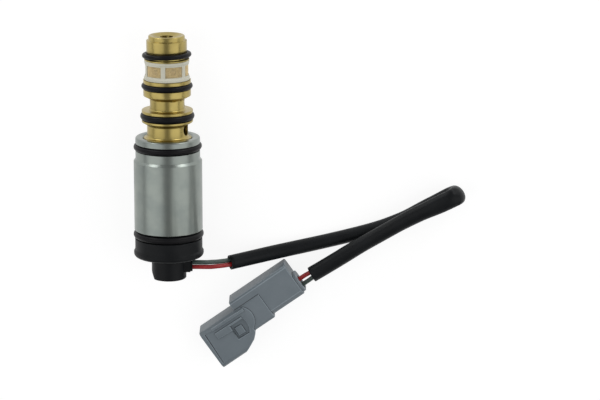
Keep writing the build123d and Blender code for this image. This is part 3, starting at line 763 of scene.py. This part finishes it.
@dataclass
class SoftenedCopy:
    """Copy of a rigid node with its sharp edges broken, as turned and moulded parts have.

    Attributes:
        node: The node that the copy stands for.
        slot: Its material slot.
        edge: Width of the broken edges in millimetres.
        sharp: Smallest angle between faces that counts as an edge, in degrees.
        spacing: Distance between the points that tell outer corners from inner ones.
        stray: Part of the edge's width that a point may leave the node's surface by.
    """

    node: str
    slot: Slot
    edge: float
    sharp: float = 32.0
    spacing: float = 0.3
    stray: float = 0.4

    def shape(self, mesh: bmesh.types.BMesh) -> None:
        """Change the merged copy before its edges are broken."""

    def break_edges(self, mesh: bmesh.types.BMesh) -> None:
        """Bevel the sharp edges, and mark the new faces of outer corners 1 and inner ones -1, which
        mouldings use for painted highlights and painted shade.

        A point that the bevel throws off the surface is put back on it.

        Args:
            mesh: The copy.
        """
        mark = mesh.faces.layers.float.new(CORNER_MARK)
        limit = math.radians(self.sharp)
        edges = [edge for edge in mesh.edges if edge.is_manifold and edge.calc_face_angle() > limit]
        points, signs = [], []
        for edge in edges:
            count = max(1, round(edge.calc_length() / (self.spacing * MM)))
            for i in range(count):
                points.append(edge.verts[0].co.lerp(edge.verts[1].co, (i + 0.5) / count))
                signs.append(math.copysign(1, edge.calc_face_angle_signed()))
        near = KDTree(len(points))
        for i, point in enumerate(points):
            near.insert(point, i)
        near.balance()
        surface = BVHTree.FromBMesh(mesh)
        broken = bmesh.ops.bevel(
            mesh, geom=edges, offset=self.edge * MM, segments=2, profile=0.5, affect="EDGES",
            material=-1, clamp_overlap=False,
        )
        for face in broken["faces"]:
            face[mark] = signs[near.find(face.calc_center_median())[1]]
        for vert in mesh.verts:
            place, _, _, gap = surface.find_nearest(vert.co)
            if gap > self.stray * self.edge * MM:
                vert.co = place

    def build(self, frame: dict, finishes: Finishes) -> bpy.types.Object:
        """Build the copy.

        Args:
            frame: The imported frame.
            finishes: The finishes.

        Returns:
            The copy, riding on the valve.
        """
        mesh = bmesh.new()
        mesh.from_mesh(frame["nodes"][self.node].data)
        bmesh.ops.remove_doubles(mesh, verts=mesh.verts, dist=MERGE_GAP)
        self.shape(mesh)
        self.break_edges(mesh)
        piece = link(self.node + "_finished", mesh, finishes.materials[self.slot.value])
        piece.data.set_sharp_from_angle(angle=math.radians(self.sharp))
        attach(piece, VALVE_BODY)
        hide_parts(self.node)
        return piece


@dataclass
class NoseBody(SoftenedCopy):
    """The brass body, with the shallow dish round the screw's bore in its nose.

    Attributes:
        bore: Radius of the screw's bore.
        dish_station: Distance of the bore's mouth from the valve's foot.
        dish_rise: How far the mouth is lifted.
        near: Distance within which a point counts as on the mouth.
    """

    bore: float = 2.3
    dish_station: float = 85.7
    dish_rise: float = 0.9
    near: float = 0.03

    def shape(self, mesh: bmesh.types.BMesh) -> None:
        """Lift the bore's mouth, which makes the dish shallower.

        Args:
            mesh: The merged copy.
        """
        mouth = []
        for vert in mesh.verts:
            radius = math.hypot(vert.co.x, vert.co.z - AXIS_HEIGHT) / MM
            station = (vert.co.y - FOOT_Y) / MM
            misses = (abs(radius - self.bore), abs(station - self.dish_station))
            if max(misses) < self.near:
                mouth.append(vert)
        log.info("nose dish: %d points lifted", len(mouth))
        bmesh.ops.translate(mesh, vec=(0, self.dish_rise * MM, 0), verts=mouth)


@dataclass
class FilterWeave:
    """Fine wire mesh behind the windows of the filter ring.

    Attributes:
        radius: Radius of the mesh.
        foot: Distance of its foot from the valve's foot.
        top: Distance of its top from the valve's foot.
        warps: Wires along the valve.
        wefts: Gaps between the wires round the valve.
        wire: Thickness of a wire.
    """

    radius: float = 7.35
    foot: float = 72.7
    top: float = 77.5
    warps: int = 180
    wefts: int = 19
    wire: float = 0.17

    def build(self, finishes: Finishes) -> bpy.types.Object:
        """Build the mesh as a cylinder of crossed wires.

        Args:
            finishes: The finishes.

        Returns:
            The mesh, riding on the valve.
        """
        mesh = bmesh.new()
        middle = FOOT_Y + (self.foot + self.top) / 2 * MM
        height = (self.top - self.foot) * MM
        start = Vector((self.radius * MM, middle - height / 2, AXIS_HEIGHT))
        vertex = bmesh.ops.create_vert(mesh, co=start)["vert"][0]
        geometry = [vertex]
        for _ in range(self.wefts):
            grown = bmesh.ops.extrude_vert_indiv(
                mesh, verts=[v for v in geometry if isinstance(v, bmesh.types.BMVert)]
            )
            geometry = grown["verts"]
            bmesh.ops.translate(mesh, vec=(0, height / self.wefts, 0), verts=geometry)
        bmesh.ops.spin(
            mesh, geom=mesh.verts[:] + mesh.edges[:], cent=(0, 0, AXIS_HEIGHT), axis=(0, 1, 0),
            angle=2 * math.pi, steps=self.warps, use_merge=True,
        )
        piece = link("filter_weave", mesh, finishes.materials[Slot.MESH.value])
        wires = piece.modifiers.new("wires", "WIREFRAME")
        wires.thickness = self.wire * MM
        wires.use_even_offset = False
        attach(piece, VALVE_BODY)
        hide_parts("filter_mesh")
        return piece


@dataclass
class Studio:
    """Camera, lamps and floor.

    Attributes:
        look_at: Point at the middle of the picture.
        distance: Camera distance.
        tilt: Camera's tilt from straight down, toward the nose, in degrees.
        lens: Focal length in millimetres.
        sensor: Width of the camera's sensor in millimetres.
        sight: Distance in metres past which the camera sees nothing.
        world_level: Strength of the even light from all round.
        floor_colour: Colour of the floor where the camera doesn't look straight at it.
        floor_reach: Half the width of the floor, in metres.
        glow_level: Strength of the white that the camera sees on the floor.
        glow_share: Share of that white in what the camera sees.
        lamp_aim: Point that the lamps face, in metres.
    """

    look_at: tuple[float, float, float] = (46.27, -15.35, 12.35)
    distance: float = 1000.0
    tilt: float = 14.0
    lens: float = 170.7
    sensor: float = 36.0
    sight: float = 10.0
    world_level: float = 0.3
    floor_colour: Colour = (0.86, 0.86, 0.86)
    floor_reach: float = 3.0
    glow_level: float = 1.15
    glow_share: float = 0.75
    lamp_aim: tuple[float, float, float] = (0.03, -0.01, 0.01)

    def camera(self) -> None:
        """Place the camera."""
        tilt = math.radians(self.tilt)
        data = bpy.data.cameras.new("camera")
        data.lens = self.lens
        data.sensor_width = self.sensor
        data.clip_end = self.sight
        camera = bpy.data.objects.new("camera", data)
        back = Vector((0, math.sin(tilt), math.cos(tilt))) * self.distance
        camera.location = (Vector(self.look_at) + back) * MM
        camera.rotation_euler = (-tilt, 0, 0)
        bpy.context.scene.collection.objects.link(camera)
        bpy.context.scene.camera = camera

    def lamp(
        self, name: str, place: tuple[float, float, float], size: tuple[float, float], power: float
    ) -> None:
        """Add a soft rectangular lamp that faces the object.

        Args:
            name: The lamp's name.
            place: Its middle, in metres.
            size: Its width and height, in metres.
            power: Its power in watts.
        """
        data = bpy.data.lights.new(name, "AREA")
        data.shape = "RECTANGLE"
        data.size, data.size_y = size
        data.energy = power
        lamp = bpy.data.objects.new(name, data)
        lamp.location = place
        aim = Vector(self.lamp_aim) - lamp.location
        lamp.rotation_euler = aim.to_track_quat("-Z", "Y").to_euler()
        bpy.context.scene.collection.objects.link(lamp)

    def floor(self) -> None:
        """Lay the pale floor, which shows white and keeps a soft shadow."""
        palette = Palette("floor")
        palette.set(Base_Color=self.floor_colour, Roughness=0.9, Specular_IOR_Level=0.0)
        tree = palette.tree
        output = next(node for node in tree.nodes if node.type == "OUTPUT_MATERIAL")
        white = {"Color": (1, 1, 1, 1), "Strength": self.glow_level}
        glow = palette.node("Emission", {}, white)
        seen = palette.node("LightPath", {}, {}, "Is Camera Ray")
        mirrored = palette.node("LightPath", {}, {}, "Is Glossy Ray")
        through = palette.node("LightPath", {}, {}, "Is Transmission Ray")
        share = (seen + mirrored + through) * self.glow_share
        mixed = palette.node("MixShader", {}, {0: share, 2: glow})
        mixer = mixed.socket.node
        tree.links.new(palette.surface.outputs["BSDF"], mixer.inputs[1])
        tree.links.new(mixed.socket, output.inputs["Surface"])
        mesh = bmesh.new()
        bmesh.ops.create_grid(mesh, x_segments=1, y_segments=1, size=self.floor_reach)
        floor = link("floor", mesh, palette.material)

    def world(self) -> None:
        """Set the even light from all round."""
        world = bpy.data.worlds.new("studio")
        world.use_nodes = True
        background = world.node_tree.nodes["Background"]
        background.inputs["Color"].default_value = (1, 1, 1, 1)
        background.inputs["Strength"].default_value = self.world_level
        bpy.context.scene.world = world

    def build(self) -> None:
        """Set up the whole studio."""
        self.camera()
        self.world()
        self.floor()
        bank, panel = (0.85, 1.05), (0.3, 0.5)
        self.lamp("left bank", (-0.62, -0.1, 0.6), bank, 2.8)
        self.lamp("right bank", (0.68, -0.1, 0.6), bank, 2.8)
        self.lamp("left nose panel", (-0.5, 0.72, 0.2), panel, 2.1)
        self.lamp("right nose panel", (0.56, 0.72, 0.2), panel, 2.1)
        bpy.context.scene.view_settings.view_transform = "Standard"


def main() -> None:
    """Build the dressed valve."""
    logging.basicConfig(level=logging.INFO, format="%(name)s: %(message)s")
    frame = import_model()
    Studio().build()
    finishes = Finishes()
    finishes.dress(frame)
    softened = (
        NoseBody("valve_body", Slot.BRASS, edge=0.08),
        SoftenedCopy("solenoid_case", Slot.ZINC, edge=0.08),
        SoftenedCopy("connector_housing", Slot.GREY, edge=0.17),
    )
    for copy in softened:
        piece = copy.build(frame, finishes)
        log.info("%s: %d faces", piece.name, len(piece.data.polygons))
    Lead().build(finishes)
    weave = FilterWeave().build(finishes)
    log.info("%s: %d faces", weave.name, len(weave.data.polygons))
    bpy.context.view_layer.update()


if __name__ == "__main__":
    main()
